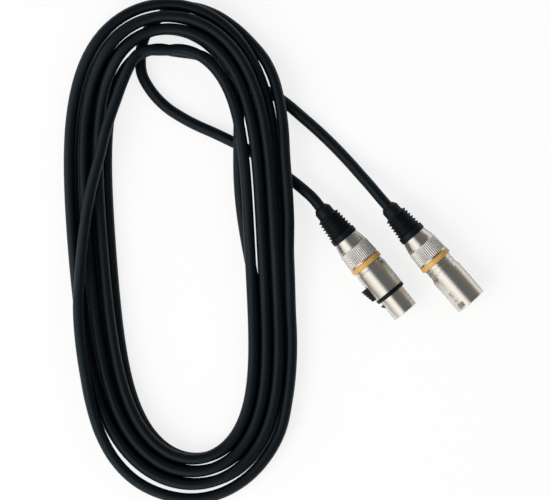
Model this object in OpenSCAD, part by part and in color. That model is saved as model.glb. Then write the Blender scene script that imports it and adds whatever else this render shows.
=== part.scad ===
// Balanced microphone cable of about 4.7 m, loosely coiled and laid flat, with a 3-pin
// female and a 3-pin male connector side by side in the middle of the coil's open side.
// Millimetres, +Z up. The cable and the connectors lie on the plane z = 0, and the origin is
// the centre of the whole lay.

/* [Cable and coil] */
// Outer diameter of the cable jacket
cable_d = 6.5; // [6:0.1:6.5]
// Length of the oval that the innermost turn follows
coil_length = 238; // [238:1:244]
// Width of the oval that the innermost turn follows
coil_width = 85.6; // [85.6:0.1:88]
// Free air between neighbouring turns, side by side and one above the other
turn_gap = 0.7; // [0.7:0.05:0.8]

/* [Connector bodies] */
// Diameter of both connector barrels
barrel_d = 19; // [18.8:0.1:19.2]
// Diameter of the coloured coding rings, on which the connectors rest
ring_d = 20; // [19.8:0.1:20.4]
// Width of a coding ring
ring_width = 3; // [2.6:0.1:3.4]
// Length of the knurled bushing behind the coding ring
bushing_length = 17.2; // [16.6:0.1:18]
// Length of the smooth cone at the bushing's cable end
cone_length = 6.4; // [5:0.1:7]
// Length of the ribbed rubber boot outside the bushing
boot_length = 23.4; // [23:0.1:24.5]
// Number of ribs on a boot
boot_ribs = 6; // [4:1:6]

/* [Female connector] */
// Length of the barrel in front of the coding ring
female_barrel_length = 19.4; // [19.2:0.1:20.5]
// Length of the nose that plugs into a male connector
nose_length = 15.4; // [15.2:0.1:16]
// Diameter of the nose
nose_d = 15.9; // [15.7:0.1:15.9]
// Width of the shock absorbing ring at the foot of the nose
shock_ring_width = 2.4; // [2:0.1:2.6]
// Height of the latch button's rear edge above the barrel
button_rise = 3.3; // [2.6:0.1:3.5]

/* [Male connector] */
// Length of the stepped neck in front of the coding ring
male_neck_length = 8.5; // [8:0.1:9]
// Length of the plain barrel in front of the neck
male_barrel_length = 22; // [21.5:0.1:23]
// Inner diameter of the barrel's open cavity
cavity_d = 16.2; // [16.1:0.1:16.4]
// Width of the window that the latch hook drops into
latch_window_w = 5; // [4.6:0.1:5.4]

/* [Contacts] */
// Diameter of the contact pins
pin_d = 2.4; // [2.3:0.1:2.4]
// Distance of the three contacts from the connector's axis
contact_radius = 3.55; // [3.5:0.05:3.6]
// Diameter of the insulated wires behind the contacts
wire_d = 1.6; // [1.4:0.1:1.8]

/* [Hidden] */
round_fn = 64;
small_fn = 32;
wire_fn = 16;

// Clearances
seat_gap = 0.05;
slide_gap = 0.1;
latch_gap = 0.3;

// The cable's three levels. The jacket is flattened by a tenth of its diameter on the floor.
cable_r = cable_d / 2;
level_step = cable_d + turn_gap;
low = 0.4 * cable_d;
mid = low + level_step;
high = mid + level_step;

// Coil: an oval centre line, in terms of the angle t that runs anticlockwise from +X
lay_x = coil_width / 85.6;
lay_y = coil_length / 238;
coil_turns = 6;
coil_sides = 6;
rings_per_turn = 24;
ring_shift = 11.5;
oval_x = -53.8;
oval_y = 1.5;
oval_half_w = coil_width / 2;
oval_half_l = coil_length / 2;
oval_square = 4.2;
oval_lean = 7.5;
oval_skew = 1.0;
oval_egg = 1.2;
oval_shoulder = 1.8;

function oval(t) = [
    oval_half_w * cos(t) + lay_x * (oval_x - oval_square * cos(3 * t) - oval_lean * sin(t)
        + oval_skew * sin(2 * t) - oval_egg * cos(2 * t)),
    oval_half_l * sin(t) + lay_y * (oval_y - oval_shoulder * sin(2 * t))
];
function oval_slope(t) = [
    lay_x * (3 * oval_square * sin(3 * t) - oval_lean * cos(t)
        + 2 * oval_skew * cos(2 * t) + 2 * oval_egg * sin(2 * t)) - oval_half_w * sin(t),
    oval_half_l * cos(t) - 2 * lay_y * oval_shoulder * cos(2 * t)
];
function outward(t) = let (s = oval_slope(t)) [s.y, -s.x] / norm(s);

// Turns spiral out lane by lane, turn round at the outermost lane and spiral in again one level up.
// They change lanes at the oval's two ends, and along both sides the upper turns lie over the
// gaps between the lower ones.
turn_back = 3;
turn_round = 0.06;
climb_turns = 0.34;
lane_steps = 0.6;
side_spread = 0.18;
stray_in = 8;
stray_from = 0.68;
stray_span = 0.24;
tuck_in = 5;
tuck_span = 0.14;

function clamped(x) = min(1, max(0, x));
function smooth(x) = let (c = clamped(x)) c * c * (3 - 2 * c);
function wrapped(t) = (t + 180) % 360 - 180;
// All turns rise by one level over the leads that cross under the top of the coil
hump_from = -22;
hump_rise = 32;
hump_to = 113;
hump_fall = 29;
function hump(t) = let (a = wrapped(t))
    level_step * smooth((a - hump_from) / hump_rise) * (1 - smooth((a - hump_to) / hump_fall));
function lane(u) = let (
    stepped = u + lane_steps * sin(720 * u) / (4 * PI),
    d = abs(stepped - turn_back)
) d < turn_round ? turn_back - turn_round / 2 - d * d / (2 * turn_round) : turn_back - d;
function coil_point(u) = let (
    t = 90 + 360 * u,
    spread = 1 + side_spread * ((1 - cos(t)) / 2) ^ 3,
    stray = -stray_in * sin(180 * clamped((u - stray_from) / stray_span)) ^ 2,
    tuck = -tuck_in * clamped((abs(u - coil_turns / 2) - coil_turns / 2 + tuck_span) / tuck_span) ^ 2,
    p = oval(t) + outward(t) * (lane(u) * level_step * spread + stray + tuck)
) [p.x, p.y, low + level_step * smooth((u - turn_back) / climb_turns + 0.5) + hump(t)];

// Rings stand closer together at the oval's two ends, where it bends most
function ring_u(i) = let (t = 90 + 360 * i / rings_per_turn)
    (t + ring_shift * sin(2 * t) - 90) / 360;
coil_points = [for (i = [0 : coil_turns * rings_per_turn]) coil_point(ring_u(i))];
coil_last = len(coil_points) - 1;
function unit(v) = v / norm(v);
coil_start = coil_points[0] - cable_d * unit(coil_points[1] - coil_points[0]);
coil_end = coil_points[coil_last] + cable_d * unit(coil_points[coil_last] - coil_points[coil_last - 1]);
coil_route = concat([coil_start], coil_points, [coil_end]);

// Connectors: place of the boot's cable end, and heading of the axis from +X
axis_z = ring_d / 2;
female_place = [lay_x * 26.2, lay_y * 24.9];
female_heading = -50.8;
male_place = [lay_x * 65.1, lay_y * 25.7];
male_heading = -48.8;
function behind(place, heading, d) = [place.x - d * cos(heading), place.y - d * sin(heading), axis_z];
straight_end = cable_d + 0.1;

// Leads, point by point, from the coil to the female connector and from the male one to the coil
function laid(points) = [for (p = points) [lay_x * p.x, lay_y * p.y, p.z]];
female_route = concat(
    [coil_end, coil_end + straight_end * unit(coil_end - coil_points[coil_last])],
    laid([
        [-78.2, 113.8, high], [-81.7, 110.4, 17.3], [-85.3, 103.8, 17.3], [-88.3, 96.8, high],
        [-91.4, 88.2, high], [-95, 78, high], [-98.5, 66.7, high], [-101.3, 54.8, high],
        [-104.5, 42.9, high], [-108.1, 25.9, high], [-110.7, 7.4, 17.3], [-112.4, -11.7, 17.5],
        [-113.6, -32.3, 17.8], [-112.4, -52.4, 17.6], [-109.7, -71.6, high],
        [-106.5, -88.8, 15.5], [-101.1, -106.4, 13.4], [-93, -121.4, 11.1], [-81.1, -133.7, 9.3],
        [-65.8, -141.5, 8.5], [-47.9, -144.4, 8.1], [-33.9, -142.1, 8.1], [-18, -133.7, 8],
        [-5.7, -121.2, 8], [3.1, -105.3, 8], [7.1, -87.6, 8.2], [9.2, -69.9, 8.3],
        [9.7, -52.2, 8.4], [9, -35.1, 9.3], [8.5, -17.6, 11.5], [7.9, 0, 13.7], [8, 17.1, 14.7],
        [7.1, 35.3, 15.4], [5.7, 54, 15.5], [4.8, 70.1, 14.4], [2.6, 86, 12.6],
        [-0.9, 99.7, 10.7], [-6, 110.5, 7.9], [-13.2, 119.5, 5.3], [-23.9, 129.8, low],
        [-36.5, 137.7, low], [-49.1, 141.2, low], [-61.2, 139.1, low], [-71.1, 132.1, low],
        [-76.5, 122.5, low], [-78.3, 112, low], [-77.5, 102.5, low], [-73.1, 94, low],
        [-64.2, 84, low], [-50.3, 75, low], [-32.8, 66.9, low], [-16.8, 58.9, low],
        [-2.8, 50.4, low], [4.5, 44.5, 2.8], [10.5, 40, 4.9], [16, 35.5, 7.9]
    ]),
    [behind(female_place, female_heading, straight_end), behind(female_place, female_heading, 0)]
);
male_route = concat(
    [behind(male_place, male_heading, 0), behind(male_place, male_heading, straight_end)],
    laid([
        [56, 36.4, 8.6], [50, 43.3, 6], [43, 51.3, 3.8], [33.9, 60.9, low], [17.2, 76.3, low],
        [-0.5, 90.2, low], [-14.2, 96.5, low], [-25, 100.3, low], [-34.1, 105.7, 3.8],
        [-41.3, 112.2, 7]
    ]),
    [coil_start + straight_end * unit(coil_start - coil_points[0]), coil_start]
);
lead_sides = 8;

// Stations along a connector, from the boot's cable end
bushing_back = boot_length;
ring_back = bushing_back + bushing_length;
ring_front = ring_back + ring_width;
knurl_back = bushing_back + cone_length;
female_front = ring_front + female_barrel_length;
nose_end = female_front + nose_length;
male_neck_front = ring_front + male_neck_length;
male_end = male_neck_front + male_barrel_length;

// Radii and lengths that both connectors share
barrel_r = barrel_d / 2;
sleeve_r = 7.6;
sleeve_back = ring_back - 6;
thread_r = sleeve_r + slide_gap;
thread_back = ring_back - 7;
boot_neck_r = 5.8;
boot_flange_r = 6.4;
boot_neck_length = 2.2;
boot_flange_length = 2.2;
flange_back = bushing_back + boot_neck_length;
chuck_back = flange_back + boot_flange_length;
chuck_length = 7.8;
chuck_r = 6.3;
chuck_slit = 0.8;
bushing_bore_r = boot_flange_r + 0.2;
bushing_back_r = 7.6;
cone_front_r = 9.1;
knurl_back_r = 9.15;
knurl_front_r = 9.8;
jacket_front = chuck_back + chuck_length + 0.5;
body_bore_r = 6.5;

// Boot
boot_back_r = 3.6;
boot_cap_r = 5.2;
boot_cap_back = 2;
boot_cap_front = 6.8;
rib_back_r = 6.9;
rib_front_r = 7.8;
rib_depth = 0.8;
rib_rise = 0.3;
rib_top = 0.08;
boot_front_r = 8.1;
boot_front_length = 4;
rib_pitch = (boot_length - boot_front_length - boot_cap_front) / boot_ribs;

// Female connector
nose_r = nose_d / 2;
nose_relief = 0.15;
groove_front = ring_front + 2.5;
groove_r = barrel_r - 0.5;
edge = 0.4;
insert_r = 6.8;
insert_back = ring_front + 12;
insert_front = nose_end - 0.5;
insert_bore_r = insert_r + seat_gap;
socket_r = pin_d / 2 + 0.4;
socket_bore_length = 12.3;
socket_back = insert_front - socket_bore_length - 1;
tail_r = 1.1;
socket_tail_back = insert_back - 3;
pivot_y = -7.2;
pivot_z = ring_front + 5.5;
pivot_r = 0.75;
pivot_half = 4.2;
pivot_bore_r = pivot_r + seat_gap;
eye_r = 1.35;
lever_half_w = 2.1;
lever_out = -7.6;
lever_in = -6.4;
lever_front = female_front + 6.6;
hook_length = 2.6;
hook_out = -nose_r - 1.15;
spring_side = 0.8;
spring_clear = 2.4;
pocket_half_w = lever_half_w + 0.5;
pocket_out = -8.8;
pocket_in = -5;
pocket_back = pivot_z - 2;
pocket_front = lever_front + 1.5;
slot_floor = -4.1;
button_half_w = 3;
button_length = 8.6;
button_back = female_front - 9.5;
button_out = -barrel_r - button_rise;
button_fall = 1.7;
button_ridges = 5;
ridge_depth = 0.45;
window_half_w = button_half_w + latch_gap;
window_in = -6.5;
spring_wire_r = 0.2;
spring_mean_r = pivot_r + 2 * spring_wire_r;
spring_coils = 3;
spring_pitch = 0.36;
spring_leg = 7;

// Male connector
cavity_r = cavity_d / 2;
male_insert_back = ring_front + 7;
male_shoulder = ring_front + 12.1;
male_insert_front = male_shoulder + 5.1;
male_insert_r = cavity_r - seat_gap;
male_spigot_r = insert_r;
pin_back = male_insert_back - 2;
pin_front = male_end - 1.9;
pin_r = pin_d / 2;
shank_r = pin_r + 0.3;
shank_front = male_insert_front + 0.2;
pin_flange_r = 2.1;
pin_flange_length = 0.8;
window_angle = 220;
window_set_back = 2.9;
window_length = 3;
key_half_w = 1;
key_depth = 0.8;
key_length = 8;

// Least distance between turns that lie over or beside each other, less the cable's diameter
measure_step = 1 / 48;
measure_points = [for (u = [0 : measure_step : coil_turns]) coil_point(u)];
measure_skip = 30;
echo(least_gap_in_coil = min([
        for (i = [0 : len(measure_points) - 1])
            for (j = [i + measure_skip : 1 : len(measure_points) - 1])
                norm(measure_points[i] - measure_points[j])
    ]) - cable_d);

// Helpers

// A tube of the cable's outer shape along a list of points, resting flat where it meets z = 0
module swept(route, sides) {
    last = len(route) - 1;
    rings = [
        for (i = [0 : last]) let (
            ahead = unit(route[min(i + 1, last)] - route[max(i - 1, 0)]),
            side = unit(cross([0, 0, 1], ahead)),
            above = cross(ahead, side)
        ) for (k = [0 : sides - 1]) let (
            a = 360 * k / sides,
            p = route[i] + cable_r * (cos(a) * side + sin(a) * above)
        ) [p.x, p.y, max(p.z, 0)]
    ];
    walls = [
        for (i = [0 : last - 1]) for (k = [0 : sides - 1]) let (
            a = i * sides + k,
            b = i * sides + (k + 1) % sides
        ) each [[a, a + sides, b], [b, a + sides, b + sides]]
    ];
    back = [for (k = [0 : sides - 1]) k];
    front = [for (k = [sides - 1 : -1 : 0]) last * sides + k];
    polyhedron(points = rings, faces = concat(walls, [back, front]), convexity = 10);
}

// Local +Z runs along the connector, local +X points down and local +Y to its left
module in_female() {
    translate([female_place.x, female_place.y, axis_z])
        rotate([0, 0, female_heading])
            rotate([0, 90, 0])
                children();
}

module in_male() {
    translate([male_place.x, male_place.y, axis_z])
        rotate([0, 0, male_heading])
            rotate([0, 90, 0])
                children();
}

module turned(profile) {
    rotate_extrude($fn = round_fn)
        polygon(profile);
}

module bored(r, from, to) {
    translate([0, 0, from])
        cylinder(r = r, h = to - from, $fn = round_fn);
}

module boxed(x, y, z) {
    translate([x[0], y[0], z[0]])
        cube([x[1] - x[0], y[1] - y[0], z[1] - z[0]]);
}

module at_contact(angle) {
    rotate([0, 0, angle])
        translate([contact_radius, 0, 0])
            children();
}

// Cable

module cable_coil() {
    color([0.08, 0.08, 0.09])
        swept(coil_route, coil_sides);
}

module cable_lead_female() {
    color([0.08, 0.08, 0.09])
        swept(female_route, lead_sides);
}

module cable_lead_male() {
    color([0.08, 0.08, 0.09])
        swept(male_route, lead_sides);
}

// Parts that both connectors share

module boot() {
    bore = cable_r + seat_gap;
    ribs = [
        for (i = [0 : boot_ribs - 1]) let (
            back = boot_cap_front + i * rib_pitch,
            tip = rib_back_r + (rib_front_r - rib_back_r) * i / max(1, boot_ribs - 1),
            core = tip - rib_depth
        ) each [
            [core, back],
            [tip, back + rib_pitch * rib_rise],
            [tip, back + rib_pitch * (rib_rise + rib_top)],
            [core, back + rib_pitch * 0.98]
        ]
    ];
    color([0.06, 0.06, 0.06])
        turned(concat(
            [[bore, 0], [boot_back_r, 0], [boot_cap_r - 0.2, boot_cap_back],
             [boot_cap_r, boot_cap_back + 0.5], [boot_cap_r, boot_cap_front - 0.4]],
            ribs,
            [[boot_front_r - 0.5, boot_length - boot_front_length],
             [boot_front_r, boot_length - boot_front_length + 0.6],
             [boot_front_r, boot_length - 0.6], [boot_front_r - 0.5, boot_length],
             [boot_neck_r, boot_length], [boot_neck_r, flange_back],
             [boot_flange_r, flange_back], [boot_flange_r, chuck_back], [bore, chuck_back]]
        ));
}

module bushing() {
    color([0.78, 0.77, 0.74])
        turned([
            [boot_neck_r + slide_gap, bushing_back], [bushing_back_r, bushing_back],
            [cone_front_r, knurl_back - 0.2], [knurl_back_r - 0.2, knurl_back],
            [knurl_back_r, knurl_back + 0.2], [knurl_front_r, ring_back - edge],
            [knurl_front_r - edge, ring_back],
            [thread_r, ring_back], [thread_r, thread_back],
            [bushing_bore_r, thread_back], [bushing_bore_r, flange_back],
            [boot_neck_r + slide_gap, flange_back]
        ]);
}

module coding_ring() {
    color([0.93, 0.62, 0.16])
        turned([
            [sleeve_r + slide_gap, ring_back], [axis_z - 0.3, ring_back],
            [axis_z, ring_back + 0.3], [axis_z, ring_front - 0.3],
            [axis_z - 0.3, ring_front], [sleeve_r + slide_gap, ring_front]
        ]);
}

// Slit collet that grips the jacket
module chuck() {
    color([0.9, 0.9, 0.88])
        difference() {
            turned([
                [cable_r + seat_gap, chuck_back], [chuck_r, chuck_back],
                [chuck_r, chuck_back + chuck_length - 2],
                [chuck_r - 1, chuck_back + chuck_length],
                [cable_r + seat_gap, chuck_back + chuck_length]
            ]);
            boxed([0, chuck_r + 1], [-chuck_slit / 2, chuck_slit / 2],
                  [chuck_back - 1, chuck_back + chuck_length + 1]);
        }
}

module cable_end() {
    color([0.08, 0.08, 0.09])
        bored(cable_r, 0, jacket_front);
}

module wire(angle, front, shade) {
    wire_r = wire_d / 2;
    start_radius = 1.5 * wire_r;
    disc = 0.02;
    color(shade)
        hull() {
            rotate([0, 0, angle])
                translate([start_radius, 0, jacket_front])
                    cylinder(r = wire_r, h = disc, $fn = wire_fn);
            at_contact(angle)
                translate([0, 0, front - disc])
                    cylinder(r = wire_r, h = disc, $fn = wire_fn);
        }
}

// Female connector

module female_shell() {
    color([0.78, 0.77, 0.74])
        in_female()
            difference() {
                turned([
                    [body_bore_r, sleeve_back], [sleeve_r, sleeve_back],
                    [sleeve_r, ring_front], [groove_r, ring_front],
                    [groove_r, groove_front - 0.4], [barrel_r, groove_front],
                    [barrel_r, female_front - edge / 2], [barrel_r - edge / 2, female_front],
                    [nose_r - nose_relief, female_front],
                    [nose_r - nose_relief, pocket_front + latch_gap],
                    [nose_r, pocket_front + latch_gap + nose_relief], [nose_r, nose_end - edge],
                    [nose_r - edge, nose_end], [insert_bore_r, nose_end],
                    [insert_bore_r, insert_back], [body_bore_r, insert_back]
                ]);
                boxed([-pocket_half_w, pocket_half_w], [pocket_out, pocket_in],
                      [pocket_back, pocket_front]);
                boxed([-window_half_w, window_half_w], [button_out - 1, window_in],
                      [button_back - latch_gap, button_back + button_length + 1.5 * latch_gap]);
                translate([-pivot_half - seat_gap, pivot_y, pivot_z])
                    rotate([0, 90, 0])
                        cylinder(r = pivot_bore_r, h = 2 * (pivot_half + seat_gap), $fn = small_fn);
            }
}

module female_shock_ring() {
    color([0.05, 0.05, 0.05])
        in_female()
            turned([
                [nose_r + seat_gap, female_front], [barrel_r - 0.2, female_front],
                [barrel_r, female_front + 0.2], [barrel_r, female_front + shock_ring_width - 0.5],
                [barrel_r - 0.6, female_front + shock_ring_width],
                [nose_r + seat_gap, female_front + shock_ring_width]
            ]);
}

socket_angles = [0, 180, 90];

module female_insert() {
    color([0.1, 0.1, 0.11])
        in_female()
            difference() {
                bored(insert_r, insert_back, insert_front);
                for (a = socket_angles)
                    at_contact(a) {
                        bored(socket_r + seat_gap, socket_back, insert_front + 1);
                        bored(tail_r + seat_gap, insert_back - 1, socket_back + 1);
                    }
                boxed([-pocket_half_w - slide_gap, pocket_half_w + slide_gap],
                      [-insert_r - 1, slot_floor], [insert_back - 1, lever_front + 1]);
            }
}

module female_socket(angle) {
    color([0.82, 0.68, 0.36])
        in_female()
            at_contact(angle)
                difference() {
                    union() {
                        bored(socket_r, socket_back, insert_front);
                        bored(tail_r, socket_tail_back, socket_back + 1);
                    }
                    bored(pin_d / 2, insert_front - socket_bore_length, insert_front + 1);
                }
}

// Latch: a lever on a cross pin, with a hook at its free end and a ridged button on its back

module latch_lever() {
    color([0.45, 0.45, 0.46])
        in_female()
            difference() {
                union() {
                    boxed([-lever_half_w, lever_half_w], [lever_out, lever_in],
                          [pivot_z, lever_front]);
                    translate([-lever_half_w, pivot_y, pivot_z])
                        rotate([0, 90, 0])
                            cylinder(r = eye_r, h = 2 * lever_half_w, $fn = small_fn);
                    translate([-lever_half_w, 0, 0])
                        rotate([90, 0, 90])
                            linear_extrude(2 * lever_half_w)
                                polygon([
                                    [lever_in, lever_front - hook_length],
                                    [hook_out, lever_front - hook_length],
                                    [hook_out, lever_front - hook_length + 0.9],
                                    [lever_out, lever_front], [lever_in, lever_front]
                                ]);
                }
                translate([-lever_half_w - 1, pivot_y, pivot_z])
                    rotate([0, 90, 0])
                        cylinder(r = pivot_bore_r, h = 2 * lever_half_w + 2, $fn = small_fn);
                boxed([spring_side, lever_half_w + 1], [pocket_out, pocket_in],
                      [pivot_z - 2, pivot_z + spring_clear]);
            }
}

module latch_button() {
    pitch = button_length / button_ridges;
    steps = [
        for (i = [0 : button_ridges - 1]) let (
            back = button_back + i * pitch,
            out = button_out + button_fall * i / button_ridges
        ) each [
            [out, back + 0.02 * pitch],
            [out, back + 0.45 * pitch],
            [out + button_fall / button_ridges + ridge_depth, back + 0.95 * pitch]
        ]
    ];
    color([0.05, 0.05, 0.05])
        in_female()
            translate([-button_half_w, 0, 0])
                rotate([90, 0, 90])
                    linear_extrude(2 * button_half_w)
                        polygon(concat(
                            [[lever_out, button_back]],
                            steps,
                            [[lever_out, button_back + button_length]]
                        ));
}

module latch_pivot_pin() {
    color([0.6, 0.6, 0.6])
        in_female()
            translate([-pivot_half, pivot_y, pivot_z])
                rotate([0, 90, 0])
                    cylinder(r = pivot_r, h = 2 * pivot_half, $fn = small_fn);
}

// Torsion spring round the pin, with a leg that bears on the insert
module latch_spring() {
    first = spring_side + latch_gap + spring_wire_r;
    lean = atan2(slot_floor - 0.4 - (pivot_y + spring_mean_r), spring_leg);
    color([0.6, 0.6, 0.6])
        in_female()
            union() {
                for (i = [0 : spring_coils - 1])
                    translate([first + i * spring_pitch, pivot_y, pivot_z])
                        rotate([0, 90, 0])
                            rotate_extrude($fn = small_fn)
                                translate([spring_mean_r, 0])
                                    circle(r = spring_wire_r, $fn = 12);
                translate([first, pivot_y + spring_mean_r, pivot_z])
                    rotate([-lean, 0, 0])
                        cylinder(r = spring_wire_r, h = spring_leg, $fn = 12);
            }
}

module female_coding_ring() {
    in_female() coding_ring();
}

module female_bushing() {
    in_female() bushing();
}

module female_boot() {
    in_female() boot();
}

module female_chuck() {
    in_female() chuck();
}

module female_cable_end() {
    in_female() cable_end();
}

module female_wire(angle, shade) {
    in_female() wire(angle, socket_tail_back, shade);
}

// Male connector

module male_shell() {
    neck_r = barrel_r - 0.7;
    color([0.78, 0.77, 0.74])
        in_male()
            difference() {
                union() {
                    turned([
                        [body_bore_r, sleeve_back], [sleeve_r, sleeve_back],
                        [sleeve_r, ring_front], [neck_r, ring_front],
                        [neck_r, ring_front + 1.8], [neck_r - 0.4, ring_front + 1.9],
                        [neck_r - 0.4, ring_front + 2.4], [neck_r, ring_front + 2.5],
                        [neck_r, ring_front + 4.7], [neck_r - 0.4, ring_front + 4.8],
                        [neck_r - 0.4, ring_front + 5.3], [neck_r, ring_front + 5.4],
                        [neck_r, male_neck_front - 1.8], [barrel_r, male_neck_front],
                        [barrel_r, male_end - edge], [barrel_r - edge, male_end],
                        [cavity_r, male_end], [cavity_r, male_shoulder],
                        [male_spigot_r + seat_gap, male_shoulder],
                        [male_spigot_r + seat_gap, male_insert_back],
                        [body_bore_r, male_insert_back]
                    ]);
                    rotate([0, 0, window_angle])
                        boxed([cavity_r - key_depth, cavity_r + 0.3], [-key_half_w, key_half_w],
                              [male_insert_front, male_insert_front + key_length]);
                }
                rotate([0, 0, window_angle])
                    boxed([cavity_r - 1, barrel_r + 1], [-latch_window_w / 2, latch_window_w / 2],
                          [male_end - window_set_back - window_length / 2,
                           male_end - window_set_back + window_length / 2]);
            }
}

pin_angles = [window_angle - 90, window_angle + 90, window_angle - 180];

module male_insert() {
    color([0.1, 0.1, 0.11])
        in_male()
            difference() {
                turned([
                    [0, male_insert_back], [male_spigot_r, male_insert_back],
                    [male_spigot_r, male_shoulder], [male_insert_r, male_shoulder],
                    [male_insert_r, male_insert_front], [0, male_insert_front]
                ]);
                for (a = pin_angles)
                    at_contact(a)
                        bored(shank_r + seat_gap, male_insert_back - 1, male_insert_front + 1);
            }
}

module male_pin(angle) {
    color([0.82, 0.68, 0.36])
        in_male()
            at_contact(angle)
                turned([
                    [0, pin_back], [shank_r, pin_back],
                    [shank_r, male_insert_back - pin_flange_length],
                    [pin_flange_r, male_insert_back - pin_flange_length],
                    [pin_flange_r, male_insert_back], [shank_r, male_insert_back],
                    [shank_r, shank_front], [pin_r, shank_front],
                    [pin_r, pin_front - 1], [pin_r * 0.75, pin_front - 0.35],
                    [pin_r * 0.4, pin_front], [0, pin_front]
                ]);
}

module male_coding_ring() {
    in_male() coding_ring();
}

module male_bushing() {
    in_male() bushing();
}

module male_boot() {
    in_male() boot();
}

module male_chuck() {
    in_male() chuck();
}

module male_cable_end() {
    in_male() cable_end();
}

module male_wire(angle, shade) {
    in_male() wire(angle, pin_back, shade);
}

cable_coil();
cable_lead_female();
cable_lead_male();
female_shell();
female_shock_ring();
female_insert();
female_socket(socket_angles[0]);  // female_socket_1
female_socket(socket_angles[1]);  // female_socket_2
female_socket(socket_angles[2]);  // female_socket_3
latch_lever();
latch_button();
latch_pivot_pin();
latch_spring();
female_coding_ring();
female_bushing();
female_boot();
female_chuck();
female_cable_end();
female_wire(socket_angles[0], [0.7, 0.1, 0.1]);  // female_wire_1
female_wire(socket_angles[1], [0.85, 0.85, 0.85]);  // female_wire_2
female_wire(socket_angles[2], [0.75, 0.45, 0.3]);  // female_wire_3
male_shell();
male_insert();
male_pin(pin_angles[0]);  // male_pin_1
male_pin(pin_angles[1]);  // male_pin_2
male_pin(pin_angles[2]);  // male_pin_3
male_coding_ring();
male_bushing();
male_boot();
male_chuck();
male_cable_end();
male_wire(pin_angles[0], [0.7, 0.1, 0.1]);  // male_wire_1
male_wire(pin_angles[1], [0.85, 0.85, 0.85]);  // male_wire_2
male_wire(pin_angles[2], [0.75, 0.45, 0.3]);  // male_wire_3
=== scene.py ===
# %% [markdown]
# # A coiled microphone cable
#
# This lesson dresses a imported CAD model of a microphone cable: a black jacket in a loose oval
# coil, a female connector with a latch and a male connector, both in nickel, on ribbed boots.
# The model is the frame. Every piece is built in its place, in metres, and rides on a body.

# %% Load the frame
import math

import bmesh
import bpy
from mathutils import Matrix, Vector


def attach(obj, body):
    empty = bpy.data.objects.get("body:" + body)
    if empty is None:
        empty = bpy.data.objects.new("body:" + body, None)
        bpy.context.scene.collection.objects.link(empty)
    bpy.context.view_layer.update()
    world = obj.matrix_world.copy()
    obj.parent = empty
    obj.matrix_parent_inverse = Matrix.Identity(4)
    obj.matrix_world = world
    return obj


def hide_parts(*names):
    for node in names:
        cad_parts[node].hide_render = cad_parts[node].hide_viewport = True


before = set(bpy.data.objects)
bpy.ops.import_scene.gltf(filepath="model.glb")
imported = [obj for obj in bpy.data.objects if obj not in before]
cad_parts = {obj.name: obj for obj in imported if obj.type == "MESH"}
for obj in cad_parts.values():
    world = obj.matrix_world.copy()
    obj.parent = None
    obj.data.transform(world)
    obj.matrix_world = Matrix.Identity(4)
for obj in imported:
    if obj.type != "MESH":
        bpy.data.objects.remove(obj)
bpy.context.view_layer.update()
MM = 0.001

# %% [markdown]
# ## Camera
#
# The cable is seen from straight above, as on a table top. A long lens from far off keeps the
# perspective weak, so the upper turns hardly hide the lower ones. The picture is 550 by 500
# pixels, and one pixel on the table is 0.58 mm, which sets the width of the view.

# %% Make the camera
IMAGE_W = 550
PIXEL = 0.58 * MM
CAMERA_HEIGHT = 1.9
SENSOR_W = 36.0
FOCUS_Z = 10 * MM

camera_data = bpy.data.cameras.new("camera")
camera_data.sensor_width = SENSOR_W
camera_data.lens = SENSOR_W * (CAMERA_HEIGHT - FOCUS_Z) / (IMAGE_W * PIXEL)
camera_data.clip_end = 10
camera = bpy.data.objects.new("camera", camera_data)
camera.location = (0, 0, CAMERA_HEIGHT)
bpy.context.collection.objects.link(camera)
bpy.context.scene.camera = camera
print("lens", round(camera_data.lens, 1), "mm")

# %% [markdown]
# ## The cable's way
#
# The coil follows one rule: a lopsided oval whose turns step outwards lane by lane, turn back at
# the outermost lane and come in again one level higher. They change lanes at the oval's two ends,
# so along both sides the upper turns lie over the gaps between the lower ones. Over the leads, all
# turns rise by one level. A formula keeps the gaps even, where points set by hand would wander.

# %% The coil, in millimetres, with angles in degrees
CABLE_D = 6.5
CABLE_R = CABLE_D / 2
STEP = CABLE_D + 0.7
LOW = 0.4 * CABLE_D
MID = LOW + STEP
HIGH = MID + STEP
COIL_TURNS = 6
TURN_BACK = 3
TURN_ROUND = 0.06
CLIMB_TURNS = 0.34
LANE_STEPS = 0.6
SIDE_SPREAD = 0.18
STRAY_IN = 8
STRAY_FROM = 0.68
STRAY_SPAN = 0.24
TUCK_IN = 5
TUCK_SPAN = 0.14
OVAL_X = -53.8
OVAL_Y = 1.5
OVAL_HALF_W = 42.8
OVAL_HALF_L = 119
OVAL_SQUARE = 4.2
OVAL_LEAN = 7.5
OVAL_SKEW = 1.0
OVAL_EGG = 1.2
OVAL_SHOULDER = 1.8
HUMP_FROM = -22
HUMP_RISE = 32
HUMP_TO = 113
HUMP_FALL = 29
RINGS_PER_TURN = 24
RING_SHIFT = 11.5


def unit(v):
    return v.normalized()


def clamped(x):
    return min(1.0, max(0.0, x))


def smooth(x):
    c = clamped(x)
    return c * c * (3 - 2 * c)


def oval(t):
    a = math.radians(t)
    x = OVAL_X + OVAL_HALF_W * math.cos(a) - OVAL_SQUARE * math.cos(3 * a)
    x += OVAL_SKEW * math.sin(2 * a) - OVAL_EGG * math.cos(2 * a) - OVAL_LEAN * math.sin(a)
    y = OVAL_Y + OVAL_HALF_L * math.sin(a) - OVAL_SHOULDER * math.sin(2 * a)
    return Vector((x, y, 0))


def outward(t):
    a = math.radians(t)
    dx = 3 * OVAL_SQUARE * math.sin(3 * a) - OVAL_HALF_W * math.sin(a) - OVAL_LEAN * math.cos(a)
    dx += 2 * OVAL_SKEW * math.cos(2 * a) + 2 * OVAL_EGG * math.sin(2 * a)
    dy = OVAL_HALF_L * math.cos(a) - 2 * OVAL_SHOULDER * math.cos(2 * a)
    return unit(Vector((dy, -dx, 0)))


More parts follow.
